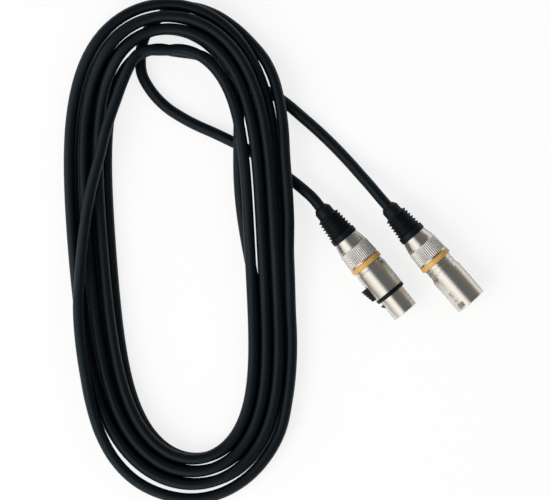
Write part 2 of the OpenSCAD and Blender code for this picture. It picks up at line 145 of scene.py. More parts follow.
def hump(t):
    a = (t + 180) % 360 - 180
    return STEP * smooth((a - HUMP_FROM) / HUMP_RISE) * (1 - smooth((a - HUMP_TO) / HUMP_FALL))


def lane(u):
    stepped = u + LANE_STEPS * math.sin(4 * math.pi * u) / (4 * math.pi)
    d = abs(stepped - TURN_BACK)
    if d < TURN_ROUND:
        return TURN_BACK - TURN_ROUND / 2 - d * d / (2 * TURN_ROUND)
    return TURN_BACK - d


def coil_point(u):
    t = 90 + 360 * u
    spread = 1 + SIDE_SPREAD * ((1 - math.cos(math.radians(t))) / 2) ** 3
    stray = -STRAY_IN * math.sin(math.pi * clamped((u - STRAY_FROM) / STRAY_SPAN)) ** 2
    from_end = COIL_TURNS / 2 - abs(u - COIL_TURNS / 2)
    tuck = -TUCK_IN * clamped(1 - from_end / TUCK_SPAN) ** 2
    p = oval(t) + outward(t) * (lane(u) * STEP * spread + stray + tuck)
    p.z = LOW + STEP * smooth((u - TURN_BACK) / CLIMB_TURNS + 0.5) + hump(t)
    return p


def ring_u(i):
    """The turn count at ring i. Rings crowd together at the oval's ends, where it bends most."""
    t = 90 + 360 * i / RINGS_PER_TURN
    return (t + RING_SHIFT * math.sin(math.radians(2 * t)) - 90) / 360


COIL_LAST = RINGS_PER_TURN * COIL_TURNS
coil_start = coil_point(0) - CABLE_D * unit(coil_point(ring_u(1)) - coil_point(0))
coil_end = coil_point(COIL_TURNS) + CABLE_D * unit(
    coil_point(COIL_TURNS) - coil_point(ring_u(COIL_LAST - 1))
)
COIL_STEPS = 5
coil = [coil_point(ring_u(i / COIL_STEPS)) for i in range(COIL_LAST * COIL_STEPS + 1)]
print("coil points", len(coil))

# %% [markdown]
# ## The leads
#
# The two ends that leave the coil follow no rule, so each is a list of points: under the top of
# the coil, across it, and straight into the boots. The points were moved apart by a relaxation
# until no two strands touch. A curve through them, with its slope weighed by the spacing, stays
# smooth where they crowd together.

# %% The leads, in millimetres
AXIS_Z = 10.0
FEMALE_PLACE = (26.2, 24.9)
FEMALE_HEADING = -50.8
MALE_PLACE = (65.1, 25.7)
MALE_HEADING = -48.8


def behind(place, heading, distance):
    a = math.radians(heading)
    return Vector(
        (place[0] - distance * math.cos(a), place[1] - distance * math.sin(a), AXIS_Z)
    )


STRAIGHT_END = CABLE_D + 0.1
FEMALE_POINTS = [
    (-78.2, 113.8, HIGH), (-81.7, 110.4, 17.3), (-85.3, 103.8, 17.3), (-88.3, 96.8, HIGH),
    (-91.4, 88.2, HIGH), (-95, 78, HIGH), (-98.5, 66.7, HIGH), (-101.3, 54.8, HIGH),
    (-104.5, 42.9, HIGH), (-108.1, 25.9, HIGH), (-110.7, 7.4, 17.3), (-112.4, -11.7, 17.5),
    (-113.6, -32.3, 17.8), (-112.4, -52.4, 17.6), (-109.7, -71.6, HIGH), (-106.5, -88.8, 15.5),
    (-101.1, -106.4, 13.4), (-93, -121.4, 11.1), (-81.1, -133.7, 9.3), (-65.8, -141.5, 8.5),
    (-47.9, -144.4, 8.1), (-33.9, -142.1, 8.1), (-18, -133.7, 8), (-5.7, -121.2, 8),
    (3.1, -105.3, 8), (7.1, -87.6, 8.2), (9.2, -69.9, 8.3), (9.7, -52.2, 8.4), (9, -35.1, 9.3),
    (8.5, -17.6, 11.5), (7.9, 0, 13.7), (8, 17.1, 14.7), (7.1, 35.3, 15.4), (5.7, 54, 15.5),
    (4.8, 70.1, 14.4), (2.6, 86, 12.6), (-0.9, 99.7, 10.7), (-6, 110.5, 7.9),
    (-13.2, 119.5, 5.3), (-23.9, 129.8, LOW), (-36.5, 137.7, LOW), (-49.1, 141.2, LOW),
    (-61.2, 139.1, LOW), (-71.1, 132.1, LOW), (-76.5, 122.5, LOW), (-78.3, 112, LOW),
    (-77.5, 102.5, LOW), (-73.1, 94, LOW), (-64.2, 84, LOW), (-50.3, 75, LOW),
    (-32.8, 66.9, LOW), (-16.8, 58.9, LOW), (-2.8, 50.4, LOW), (4.5, 44.5, 2.8), (10.5, 40, 4.9),
    (16, 35.5, 7.9),
]
MALE_POINTS = [
    (56, 36.4, 8.6), (50, 43.3, 6), (43, 51.3, 3.8), (33.9, 60.9, LOW), (17.2, 76.3, LOW),
    (-0.5, 90.2, LOW), (-14.2, 96.5, LOW), (-25, 100.3, LOW), (-34.1, 105.7, 3.8),
    (-41.3, 112.2, 7),
]
coil_onward = unit(coil_end - coil_point(COIL_TURNS))
coil_back = unit(coil_start - coil_point(0))
female_route = [coil_end, coil_end + STRAIGHT_END * coil_onward]
female_route += [Vector(p) for p in FEMALE_POINTS]
female_route += [
    behind(FEMALE_PLACE, FEMALE_HEADING, STRAIGHT_END),
    behind(FEMALE_PLACE, FEMALE_HEADING, 0),
]
male_route = [
    behind(MALE_PLACE, MALE_HEADING, 0),
    behind(MALE_PLACE, MALE_HEADING, STRAIGHT_END),
]
male_route += [Vector(p) for p in MALE_POINTS]
male_route += [coil_start + STRAIGHT_END * coil_back, coil_start]


def rounded_path(points, before, after, steps):
    """A smooth curve through the points, whose slope at each one is weighed by the spacing."""
    line = [before] + points + [after]
    slopes = []
    for a, b, c in zip(line, line[1:], line[2:]):
        d0, d1 = (b - a).length, (c - b).length
        slopes.append(((b - a) / d0 * d1 + (c - b) / d1 * d0) / (d0 + d1))
    path = []
    for i in range(len(points) - 1):
        p, q = points[i], points[i + 1]
        d = (q - p).length
        for k in range(steps):
            s = k / steps
            path.append(
                p * (2 * s**3 - 3 * s**2 + 1)
                + slopes[i] * d * (s**3 - 2 * s**2 + s)
                + q * (3 * s**2 - 2 * s**3)
                + slopes[i + 1] * d * (s**3 - s**2)
            )
    return path + [points[-1]]


def without_doubles(path):
    kept = [path[0]]
    for p in path[1:]:
        if (p - kept[-1]).length > LEAST_STEP:
            kept.append(p)
    return kept


LEAD_STEPS = 5
LEAST_STEP = 0.2
male_lead = rounded_path(
    male_route, 2 * male_route[0] - male_route[1], coil[0], LEAD_STEPS
)
female_lead = rounded_path(
    female_route, coil[-1], 2 * female_route[-1] - female_route[-2], LEAD_STEPS
)
cable_path = without_doubles(male_lead + coil + female_lead)
cable_length = sum((b - a).length for a, b in zip(cable_path, cable_path[1:]))
print("cable length", round(cable_length), "mm")

# %% [markdown]
# ## Helpers for meshes and for places
#
# A connector is easiest to draw along its own axis, in millimetres: +Z forwards, +X down and +Y
# to its left. One matrix then puts the finished mesh in its place, so that the object itself
# stays at the origin, unturned and unscaled.


# %% Mesh helpers
def seat(place, heading):
    a = math.radians(heading)
    ahead = Vector((math.cos(a), math.sin(a), 0))
    left = Vector((-math.sin(a), math.cos(a), 0))
    down = Vector((0, 0, -1))
    turn = Matrix((down, left, ahead)).transposed().to_4x4()
    spot = Matrix.Translation(Vector((place[0], place[1], AXIS_Z)) * MM)
    return spot @ turn @ Matrix.Scale(MM, 4)


IN_FEMALE = seat(FEMALE_PLACE, FEMALE_HEADING)
IN_MALE = seat(MALE_PLACE, MALE_HEADING)
SHARP = math.radians(32)


def link(name, mesh):
    piece = bpy.data.objects.new(name, mesh)
    bpy.context.collection.objects.link(piece)
    return piece


def mesh_of(name, verts, faces):
    mesh = bpy.data.meshes.new(name)
    mesh.from_pydata([tuple(v) for v in verts], [], faces)
    mesh.validate()
    return mesh


def shaded_smooth(mesh, sharp=SHARP):
    mesh.polygons.foreach_set("use_smooth", [True] * len(mesh.polygons))
    mesh.set_sharp_from_angle(angle=sharp)
    return mesh


def tidy(mesh, merge=1e-4, sharp=SHARP):
    """Merges doubles, turns faces outwards and shades smooth between sharp edges."""
    work = bmesh.new()
    work.from_mesh(mesh)
    if merge:
        bmesh.ops.remove_doubles(work, verts=work.verts, dist=merge)
    bmesh.ops.recalc_face_normals(work, faces=work.faces)
    work.to_mesh(mesh)
    work.free()
    return shaded_smooth(mesh, sharp)


def rounded(profile, radius, steps=3):
    """The closed profile with each corner cut to a short arc of about this radius."""
    points = []
    count = len(profile)
    for i in range(count):
        a, b, c = (Vector(profile[(i + k) % count]) for k in (-1, 0, 1))
        if b.x < 1e-6:
            points.append(b)
            continue
        back, on = a - b, c - b
        reach = min(radius, back.length * 0.45, on.length * 0.45)
        p, q = b + back.normalized() * reach, b + on.normalized() * reach
        for k in range(steps + 1):
            s = k / steps
            points.append(p * (1 - s) ** 2 + b * 2 * s * (1 - s) + q * s**2)
    return points


ROUND_SIDES = 128


def turned(name, profile, radius=0.15, sides=ROUND_SIDES):
    """A lathe form about +Z from a closed profile of radius and station."""
    outline = rounded(profile, radius) if radius else [Vector(p) for p in profile]
    count = len(outline)
    verts = [
        (p.x * math.cos(a), p.x * math.sin(a), p.y)
        for a in (2 * math.pi * k / sides for k in range(sides))
        for p in outline
    ]
    faces = []
    for k in range(sides):
        here, there = k * count, (k + 1) % sides * count
        for i in range(count):
            j = (i + 1) % count
            faces.append((here + i, here + j, there + j, there + i))
    return tidy(mesh_of(name, verts, faces))


def boxed(name, x, y, z):
    corners = [(a, b, c) for a in x for b in y for c in z]
    faces = [(0, 1, 3, 2), (4, 6, 7, 5), (0, 4, 5, 1), (2, 3, 7, 6), (0, 2, 6, 4), (1, 5, 7, 3)]
    return tidy(mesh_of(name, corners, faces))


def turned_box(name, x, y, z, angle):
    mesh = boxed(name, x, y, z)
    mesh.transform(Matrix.Rotation(math.radians(angle), 4, "Z"))
    return mesh


def baked(piece):
    """The piece's evaluated mesh, with its modifiers applied."""
    graph = bpy.context.evaluated_depsgraph_get()
    return bpy.data.meshes.new_from_object(piece.evaluated_get(graph), depsgraph=graph)


def carved(mesh, cutters, added=(), bevel=0.12):
    """The mesh with the cutters taken out and the added forms joined on, edges eased."""
    piece = link("carving", mesh)
    tools = []
    for kind, forms in (("UNION", added), ("DIFFERENCE", cutters)):
        for form in forms:
            tool = link("tool", form)
            tools.append(tool)
            cut = piece.modifiers.new("cut", "BOOLEAN")
            cut.operation = kind
            cut.solver = "EXACT"
            cut.object = tool
    if bevel:
        ease = piece.modifiers.new("ease", "BEVEL")
        ease.width = bevel
        ease.segments = 2
        ease.limit_method = "ANGLE"
        ease.angle_limit = math.radians(50)
    result = baked(piece)
    for item in tools + [piece]:
        bpy.data.objects.remove(item)
    return tidy(result)


def placed(name, mesh, matrix, body, slot, *nodes):
    """Puts a local mesh in its place, makes it a piece of the body and retires the nodes."""
    mesh.transform(matrix)
    mesh.update()
    piece = link(name, mesh)
    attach(piece, body)
    if nodes:
        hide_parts(*nodes)


ROOT = "cable"
LATCH = "latch"
print("seats", IN_FEMALE.translation, IN_MALE.translation)

# %% [markdown]
# ## Shader arithmetic
#
# Materials are easier to read as expressions than as wires. The class below wraps a socket and
# overloads the operators, so that `cloud * 0.6 + grain * 0.4` adds its Math nodes. Every other
# node comes from one method, which takes the node's type, its settings and its inputs.


# %% Shader helpers
class Wire:
    """A socket that can be used in Python expressions."""

    def __init__(self, graph, socket):
        self.graph = graph
        self.socket = socket

    def _maths(self, operation, *values):
        node = self.graph.add("ShaderNodeMath", {"operation": operation}, dict(enumerate(values)))
        return self.graph.out(node, 0)

    def __add__(self, other):
        return self._maths("ADD", self, other)

    def __sub__(self, other):
        return self._maths("SUBTRACT", self, other)

    def __mul__(self, other):
        return self._maths("MULTIPLY", self, other)

    def __truediv__(self, other):
        return self._maths("DIVIDE", self, other)

    def sine(self):
        return self._maths("SINE", self)

    def limited(self):
        return self._maths("MINIMUM", self._maths("MAXIMUM", self, 0.0), 1.0)


class Finish:
    """A material under construction, with one Principled shader."""

    def __init__(self, name, **fixed):
        self.material = bpy.data.materials.new(name)
        self.material.use_nodes = True
        self.tree = self.material.node_tree
        self.tree.nodes.clear()
        output = self.tree.nodes.new("ShaderNodeOutputMaterial")
        self.shader = self.tree.nodes.new("ShaderNodeBsdfPrincipled")
        self.tree.links.new(self.shader.outputs[0], output.inputs[0])
        for key, value in fixed.items():
            self.shader.inputs[key.replace("_", " ")].default_value = value

    def add(self, kind, settings=None, inputs=None):
        node = self.tree.nodes.new(kind)
        for key, value in (settings or {}).items():
            setattr(node, key, value)
        for key, value in (inputs or {}).items():
            self.feed(node.inputs[key], value)
        return node

    def feed(self, socket, value):
        if isinstance(value, Wire):
            self.tree.links.new(value.socket, socket)
        else:
            socket.default_value = value

    def out(self, node, key=0):
        return Wire(self, node.outputs[key])

    def place(self):
        return self.out(self.add("ShaderNodeTexCoord"), "Object")

    def along(self):
        """The piece's own UV map, as two values: round the cable and along it."""
        parts = self.add("ShaderNodeSeparateXYZ", None, {0: self.out(self.add("ShaderNodeUVMap"))})
        return self.out(parts, 0), self.out(parts, 1)

    def point(self, x, y, z):
        return self.out(self.add("ShaderNodeCombineXYZ", None, {0: x, 1: y, 2: z}))

    def noise(self, scale, detail=4.0, rough=0.55, where=None):
        """Soft noise from 0 to 1. The scale counts features in a metre."""
        values = {"Scale": scale, "Detail": detail, "Roughness": rough}
        values["Vector"] = where or self.place()
        return self.out(self.add("ShaderNodeTexNoise", None, values), 0)

    def between(self, factor, a, b):
        """Two colours, each a tuple or a socket, mixed by a factor."""
        a, b = (colour if isinstance(colour, Wire) else (*colour, 1) for colour in (a, b))
        node = self.add("ShaderNodeMix", {"data_type": "RGBA"}, {0: factor, 6: a, 7: b})
        return self.out(node, 2)

    def bump(self, height, depth, strength=1.0, under=None):
        """A Bump node. The depth is the height's real depth in metres."""
        values = {"Strength": strength, "Distance": depth, "Height": height}
        if under is not None:
            values["Normal"] = under
        return self.out(self.add("ShaderNodeBump", None, values))

    def set(self, **sockets):
        for key, value in sockets.items():
            self.feed(self.shader.inputs[key.replace("_", " ")], value)
        return self.material


print("shader helpers ready")

# %% [markdown]
# ## The jacket
#
# The jacket is soft black PVC, extruded over two cores and a screen. It is satin, a little blue
# in its sheen, with a fine skin, faint lines along its length from the die, and a slow twist
# where the cores press through. The pattern follows the tube, so it reads the tube's UV map.

# %% Jacket finish
JACKET_DARK = (0.0005, 0.0013, 0.0022)
JACKET_PALE = (0.002, 0.0042, 0.0064)
CORE_TWIST = 0.045

jacket = Finish(
    "jacket_pvc", IOR=1.5, Specular_IOR_Level=0.36, Specular_Tint=(0.62, 0.82, 0.95, 1)
)
around, along = jacket.along()
wander = jacket.noise(38.0, 3.0)
die_lines = jacket.noise(1.0, 3.0, 0.5, jacket.point(around * 34.0, along * 9.0, 0.0))
twist = ((around * 2.0 + along / CORE_TWIST) * (2 * math.pi)).sine()
skin = jacket.noise(5200.0, 2.0, 0.6)
scuff = ((jacket.noise(310.0, 5.0, 0.7) - 0.56) * 6.0).limited()
height = jacket.bump(twist, 0.03 * MM, 0.6)
height = jacket.bump(die_lines, 0.05 * MM, 0.5, height)
height = jacket.bump(skin, 0.02 * MM, 0.45, height)
JACKET = jacket.set(
    Base_Color=jacket.between(wander * 0.7 + scuff * 0.3, JACKET_DARK, JACKET_PALE),
    Roughness=wander * 0.12 + scuff * 0.1 + 0.4,
    Normal=height,
)

# %% [markdown]
# ## The cable
#
# The jacket is one tube from boot to boot. A ring of points is carried along the path, kept
# upright by the vertical, and pressed flat where it meets the table. The UV map counts once
# round the tube and in metres along it.

# %% Sweep the cable
CABLE_SIDES = 20


def swept_tube(name, path, radius, sides):
    verts, faces, marks = [], [], [0.0]
    for a, b in zip(path, path[1:]):
        marks.append(marks[-1] + (b - a).length)
    for i, p in enumerate(path):
        ahead = unit(path[min(i + 1, len(path) - 1)] - path[max(i - 1, 0)])
        side = unit(Vector((0, 0, 1)).cross(ahead))
        above = ahead.cross(side)
        for k in range(sides):
            a = 2 * math.pi * (k + 0.5) / sides
            spot = p + (side * math.cos(a) + above * math.sin(a)) * radius
            spot.z = max(spot.z, 0.0)
            verts.append(spot * MM)
    for i in range(len(path) - 1):
        for k in range(sides):
            j = (k + 1) % sides
            here, there = i * sides, (i + 1) * sides
            faces.append((here + k, there + k, there + j, here + j))
    faces.append(tuple(range(sides)))
    faces.append(tuple(range(len(path) * sides - 1, (len(path) - 1) * sides - 1, -1)))
    mesh = mesh_of(name, verts, faces)
    uv = mesh.uv_layers.new(name="tube")
    for face in mesh.polygons:
        wall = len(face.vertices) == 4
        ring, k = divmod(face.vertices[0], sides)
        spots = ((k, ring), (k, ring + 1), (k + 1, ring + 1), (k + 1, ring))
        for corner, index in enumerate(face.loop_indices):
            column, row = spots[corner] if wall else divmod(face.vertices[corner], sides)[::-1]
            uv.data[index].uv = (column / sides, marks[min(row, len(marks) - 1)] * MM)
    return tidy(mesh, merge=0, sharp=math.radians(60))


cable = link("cable_jacket", swept_tube("cable_jacket", cable_path, CABLE_R, CABLE_SIDES))
cable.data.materials.append(JACKET)
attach(cable, ROOT)
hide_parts("cable_coil", "cable_lead_female", "cable_lead_male")
print("cable faces", len(cable.data.polygons), "points", len(cable_path))

# %% [markdown]
# ## Nickel
#
# The shells and bushings are die-cast zinc with satin nickel plating: bright, a touch warm, and
# brushed along the axis, so highlights stretch. The brushing is noise squeezed to long thin
# grains, which are laid along the connector's heading by a Mapping node. Where a piece marks its
# crests with an attribute, shade is painted into the grooves between them as a darker colour.


# %% Metal finishes
GRAIN_STRETCH = 14
# Painted shade: the dark colour the knurl's grooves fall to, in place of their real shade.
GROOVE_PAINTED_SHADE = (0.22, 0.21, 0.2)


def brushed_nickel(name, heading, rough, tint, grain_depth, metallic=1.0, crest=None):
    metal = Finish(name, Metallic=metallic)
    lie = metal.add(
        "ShaderNodeMapping",
        {"vector_type": "TEXTURE"},
        {
            "Vector": metal.place(),
            "Rotation": (0, 0, math.radians(heading)),
            "Scale": (GRAIN_STRETCH, 1, 1),
        },
    )
    grain = metal.noise(7000.0, 3.0, 0.6, metal.out(lie))
    cloud = metal.noise(120.0, 3.0)
    marks = ((metal.noise(900.0, 6.0, 0.75) - 0.62) * 8.0).limited()
    pale = tuple(min(1.0, c * 1.06) for c in tint)
    dark = tuple(c * 0.9 for c in tint)
    colour = metal.between(cloud * 0.6 + grain * 0.4, dark, pale)
    if crest:
        height = metal.out(metal.add("ShaderNodeAttribute", {"attribute_name": crest}), "Fac")
        # Painted shade: away from the crests the base colour darkens towards the groove shade.
        colour = metal.between(((height - 0.15) * 2.2).limited(), GROOVE_PAINTED_SHADE, colour)
    return metal.set(
        Base_Color=colour,
        Roughness=grain * 0.08 + cloud * 0.05 + marks * 0.12 + rough,
        Normal=metal.bump(grain, grain_depth, 0.35),
    )


NICKEL_TINT = (0.76, 0.735, 0.695)
NICKEL_F = brushed_nickel("nickel_female", FEMALE_HEADING, 0.22, NICKEL_TINT, 0.009 * MM)
NICKEL_M = brushed_nickel("nickel_male", MALE_HEADING, 0.22, NICKEL_TINT, 0.009 * MM)
KNURLED = brushed_nickel(
    "nickel_knurled", MALE_HEADING, 0.34, (0.9, 0.87, 0.83), 0.002 * MM, 0.6, "crest"
)
SPRING_STEEL = brushed_nickel("spring_steel", FEMALE_HEADING, 0.28, (0.3, 0.29, 0.28), 0.01 * MM)
CONTACT = brushed_nickel("contact_gold", MALE_HEADING, 0.14, (0.86, 0.66, 0.3), 0.002 * MM)
print("metals", NICKEL_F.name, KNURLED.name)

# %% [markdown]
# ## Plastics and rubber
#
# Moulded parts differ in their skin. Rubber is matt with a bloom, the coding ring is glossy and
# deep in colour, and the black plastics are satin with a spark-eroded grain.


# %% Moulded finishes
def moulded(name, dark, pale, rough, grain, depth, **fixed):
    skin = Finish(name, **fixed)
    cloud = skin.noise(160.0, 4.0)
    fine = skin.noise(grain, 3.0, 0.65)
    wear = ((skin.noise(700.0, 5.0, 0.7) - 0.58) * 5.0).limited()
    return skin.set(
        Base_Color=skin.between(cloud * 0.7 + wear * 0.3, dark, pale),
        Roughness=cloud * 0.1 + wear * 0.08 + rough,
        Normal=skin.bump(fine, depth, 0.5),
    )


RUBBER = moulded(
    "boot_rubber", (0.0014, 0.0022, 0.0034), (0.0045, 0.0065, 0.009), 0.42, 2600.0, 0.03 * MM,
    Specular_IOR_Level=0.26, Specular_Tint=(0.7, 0.85, 0.95, 1),
)
RING_PLASTIC = moulded(
    "coding_plastic", (0.56, 0.3, 0.065), (0.63, 0.37, 0.1), 0.26, 1500.0, 0.006 * MM,
    Coat_Weight=0.3, Coat_Roughness=0.15,
)
BLACK_PLASTIC = moulded(
    "black_plastic", (0.002, 0.002, 0.0024), (0.005, 0.005, 0.0055), 0.42, 2200.0, 0.015 * MM
)
WHITE_PLASTIC = moulded(
    "white_plastic", (0.74, 0.74, 0.71), (0.83, 0.83, 0.8), 0.4, 1800.0, 0.01 * MM
)
WIRE_RED = moulded("wire_red", (0.4, 0.02, 0.015), (0.52, 0.04, 0.03), 0.3, 900.0, 0.01 * MM)
WIRE_WHITE = moulded("wire_white", (0.72, 0.72, 0.7), (0.82, 0.82, 0.8), 0.3, 900.0, 0.01 * MM)
WIRE_BARE = brushed_nickel("wire_copper", FEMALE_HEADING, 0.25, (0.78, 0.42, 0.27), 0.02 * MM)
print("moulded finishes ready")

# %% [markdown]
# ## Stations
#
# Both connectors share their rear half, so its stations along the axis are worked out once, from
# the lengths of the parts, in millimetres from the boot's cable end.

# %% Stations and radii
BUSHING_BACK = 23.4
RING_BACK = BUSHING_BACK + 17.2
RING_FRONT = RING_BACK + 3
KNURL_BACK = BUSHING_BACK + 6.4
BARREL_R = 9.5
SLEEVE_R = 7.6
SLEEVE_BACK = RING_BACK - 6
SHELL_BORE = 6.5
INSERT_R = 6.85
THREAD_R = 7.7
FEMALE_FRONT = RING_FRONT + 19.4
NOSE_END = FEMALE_FRONT + 15.4
NOSE_R = 7.95
MALE_NECK_FRONT = RING_FRONT + 8.5
MALE_END = MALE_NECK_FRONT + 22
CAVITY_R = 8.1
print("nose ends at", NOSE_END, "and the male mouth at", MALE_END)

# %% [markdown]
# ## Repeats with Geometry Nodes
#
# Ribs on a boot and ridges on a bushing are one small form, repeated. A Geometry Nodes tree
# holds the rule: a row of points, an instance on each, then Realize Instances and Set Material.
# The sizes are named inputs, so both connectors share the trees.


# %% Tree helpers
class Tree:
    """A Geometry Nodes tree with named inputs and short calls for its nodes."""

    def __init__(self, name, inputs):
        self.tree = bpy.data.node_groups.new(name, "GeometryNodeTree")
        face = self.tree.interface
        face.new_socket("Geometry", in_out="INPUT", socket_type="NodeSocketGeometry")
        for key, kind in inputs:
            face.new_socket(key, in_out="INPUT", socket_type=kind)
        face.new_socket("Geometry", in_out="OUTPUT", socket_type="NodeSocketGeometry")
        self.given = self.tree.nodes.new("NodeGroupInput")
        self.result = self.tree.nodes.new("NodeGroupOutput")

    def add(self, kind, settings=None, inputs=None):
        node = self.tree.nodes.new(kind)
        for key, value in (settings or {}).items():
            setattr(node, key, value)
        for key, value in (inputs or {}).items():
            if hasattr(value, "is_output"):
                self.tree.links.new(value, node.inputs[key])
            else:
                node.inputs[key].default_value = value
        return node

    def maths(self, operation, a, b=0.0):
        return self.add("ShaderNodeMath", {"operation": operation}, {0: a, 1: b}).outputs[0]

    def end(self, geometry, material):
        real = self.add("GeometryNodeRealizeInstances", None, {"Geometry": geometry})
        painted = self.add(
            "GeometryNodeSetMaterial", None, {"Geometry": real.outputs[0], "Material": material}
        )
        self.tree.links.new(painted.outputs[0], self.result.inputs[0])
        return self.tree


def grown(name, seed_mesh, tree, values):
    """The seed mesh put through the tree, with its inputs set by identifier."""
    piece = link(name, seed_mesh)
    modifier = piece.modifiers.new("grow", "NODES")
    modifier.node_group = tree
    for item in tree.interface.items_tree:
        if item.in_out == "INPUT" and item.name in values:
            modifier[item.identifier] = values[item.name]
    mesh = baked(piece)
    bpy.data.objects.remove(piece)
    return mesh


# %% [markdown]
# ### Knurl
#
# The bushing's straight knurl is a crown of fine ridges along the axis. A single ridge, a low
# three-sided bar with sloped ends that follows the bushing's slight taper, is the seed. The tree
# stacks its points on the axis and turns each copy to its own angle. An attribute marks the
# crest, which the finish reads to paint shade into the grooves between the ridges.

# %% Knurl tree
KNURL_COUNT = 52

knurl = Tree("knurl_crown", [("Count", "NodeSocketInt")])
stack = knurl.add(
    "GeometryNodeMeshLine",
    None,
    {"Count": knurl.given.outputs["Count"], "Offset": (0, 0, 0)},
)
index = knurl.add("GeometryNodeInputIndex").outputs[0]
share = knurl.maths("DIVIDE", index, knurl.given.outputs["Count"])
angle = knurl.maths("MULTIPLY", share, 2 * math.pi)
turn = knurl.add("ShaderNodeCombineXYZ", None, {2: angle})
crown = knurl.add(
    "GeometryNodeInstanceOnPoints",
    None,
    {"Points": stack.outputs[0], "Instance": knurl.given.outputs[0], "Rotation": turn.outputs[0]},
)
KNURL_TREE = knurl.end(crown.outputs[0], KNURLED)


def ridge(back, front, back_r, front_r, rise, half):
    """One knurl ridge along the taper, its ends sloped down into the metal."""
    sink, foot, run = 0.25, 0.06, 0.5
    stations = [
        (back, back_r - sink, 0.0), (back + run, back_r, rise),
        (front - run, front_r, rise), (front, front_r - sink, 0.0),
    ]
    verts, faces = [], []
    for z, r, up in stations:
        verts += [(r - foot, -half, z), (r + up, 0.0, z), (r - foot, half, z)]
    for i in range(len(stations) - 1):
        a, b = 3 * i, 3 * (i + 1)
        for k in range(3):
            j = (k + 1) % 3
            faces.append((a + k, a + j, b + j, b + k))
    faces += [(0, 2, 1), (9, 10, 11)]
    mesh = tidy(mesh_of("ridge", verts, faces))
    mesh.polygons.foreach_set("use_smooth", [False] * len(mesh.polygons))
    # The crest mark lets the knurl finish paint shade into the grooves between the ridges.
    crest = mesh.attributes.new("crest", "FLOAT", "POINT")
    crest.data.foreach_set("value", [float(abs(v.co.y) < 1e-6) for v in mesh.vertices])
    return mesh


# %% [markdown]
# ### Boot ribs
#
# The boot's ribs grow towards the connector. The tree lays points in a line along the axis, sets
# one soft ring on each, and scales it by its place in the row.

# %% Rib tree
RIBS = 6
RIB_FIRST = 6.8
RIB_PITCH = (BUSHING_BACK - 4 - RIB_FIRST) / RIBS
RIB_GROWTH = 0.0261
BOOT_SIDES = 96

ribs = Tree(
    "boot_ribs",
    [("Count", "NodeSocketInt"), ("Pitch", "NodeSocketFloat"), ("Growth", "NodeSocketFloat")],
)
spacing = ribs.add("ShaderNodeCombineXYZ", None, {2: ribs.given.outputs["Pitch"]})
row = ribs.add(
    "GeometryNodeMeshLine",
    None,
    {"Count": ribs.given.outputs["Count"], "Offset": spacing.outputs[0]},
)
place = ribs.add("GeometryNodeInputIndex").outputs[0]
grow = ribs.maths("MULTIPLY", place, ribs.given.outputs["Growth"])
wider = ribs.maths("ADD", grow, 1.0)
size = ribs.add("ShaderNodeCombineXYZ", None, {0: wider, 1: wider, 2: 1.0})
line_of_ribs = ribs.add(
    "GeometryNodeInstanceOnPoints",
    None,
    {"Points": row.outputs[0], "Instance": ribs.given.outputs[0], "Scale": size.outputs[0]},
)
RIB_TREE = ribs.end(line_of_ribs.outputs[0], RUBBER)
print("rib pitch", round(RIB_PITCH, 2), "knurl ridges", KNURL_COUNT)


# %% [markdown]
# ## The rear half: boot, bushing and coding ring
#
# The boot's body is a lathe form, and its ribs come from the tree and are joined to it. The
# bushing is a smooth cone and a knurled part with a fine groove between them.


# %% Rear half
def joined(name, meshes):
    work = bmesh.new()
    for mesh in meshes:
        work.from_mesh(mesh)
    whole = bpy.data.meshes.new(name)
    work.to_mesh(whole)
    work.free()
    return whole


def painted(mesh, material):
    mesh.materials.clear()
    mesh.materials.append(material)
    return mesh


def boot(side, matrix):
    bore = CABLE_R + 0.05
    front = BUSHING_BACK
    body = turned(
        "boot_body",
        [
            (bore, 0), (3.6, 0), (5.0, 2.0), (5.2, 2.5), (5.2, RIB_FIRST - 0.4),
            (5.75, RIB_FIRST), (7.0, front - 4), (7.6, front - 4), (8.1, front - 3.4),
            (8.1, front - 0.6), (7.6, front), (5.8, front), (5.8, front + 2.2),
            (6.4, front + 2.2), (6.4, front + 4.4), (bore, front + 4.4),
        ],
        0.3,
        BOOT_SIDES,
    )
    rib = turned(
        "rib",
        [
            (5.2, RIB_FIRST + 0.1), (6.1, RIB_FIRST + 0.25), (6.9, RIB_FIRST + 0.62),
            (6.9, RIB_FIRST + 0.85), (6.1, RIB_FIRST + 1.9), (5.2, RIB_FIRST + 2.0),
        ],
        0.08,
        BOOT_SIDES,
    )
    values = {"Count": RIBS, "Pitch": RIB_PITCH, "Growth": RIB_GROWTH}
    row_of_ribs = grown("rib_row", rib, RIB_TREE, values)
    mesh = shaded_smooth(painted(joined("boot", [body, row_of_ribs]), RUBBER))
    placed(side + "_boot_rubber", mesh, matrix, ROOT, "boot_rubber", side + "_boot")


def bushing(side, matrix, metal):
    neck = 5.9
    body = turned(
        "bushing_body",
        [
            (neck, BUSHING_BACK), (7.6, BUSHING_BACK), (9.0, KNURL_BACK - 0.5),
            (8.8, KNURL_BACK - 0.25), (8.85, KNURL_BACK), (9.1, KNURL_BACK + 0.3),
            (9.55, RING_BACK - 0.9), (9.75, RING_BACK - 0.75), (9.75, RING_BACK - 0.2),
            (9.55, RING_BACK), (THREAD_R, RING_BACK), (THREAD_R, RING_BACK - 7), (6.6, RING_BACK - 7),
            (6.6, BUSHING_BACK + 2.2), (neck, BUSHING_BACK + 2.2),
        ],
        0.12,
    )
    seed = ridge(KNURL_BACK + 0.2, RING_BACK - 0.8, 9.12, 9.6, 0.22, 0.54)
    crown_mesh = grown("crown", seed, KNURL_TREE, {"Count": KNURL_COUNT})
    name = side + "_bushing"
    placed(name + "_nickel", painted(body, metal), matrix, ROOT, "nickel", name)
    placed(name + "_knurl", painted(crown_mesh, KNURLED), matrix, ROOT, "nickel")


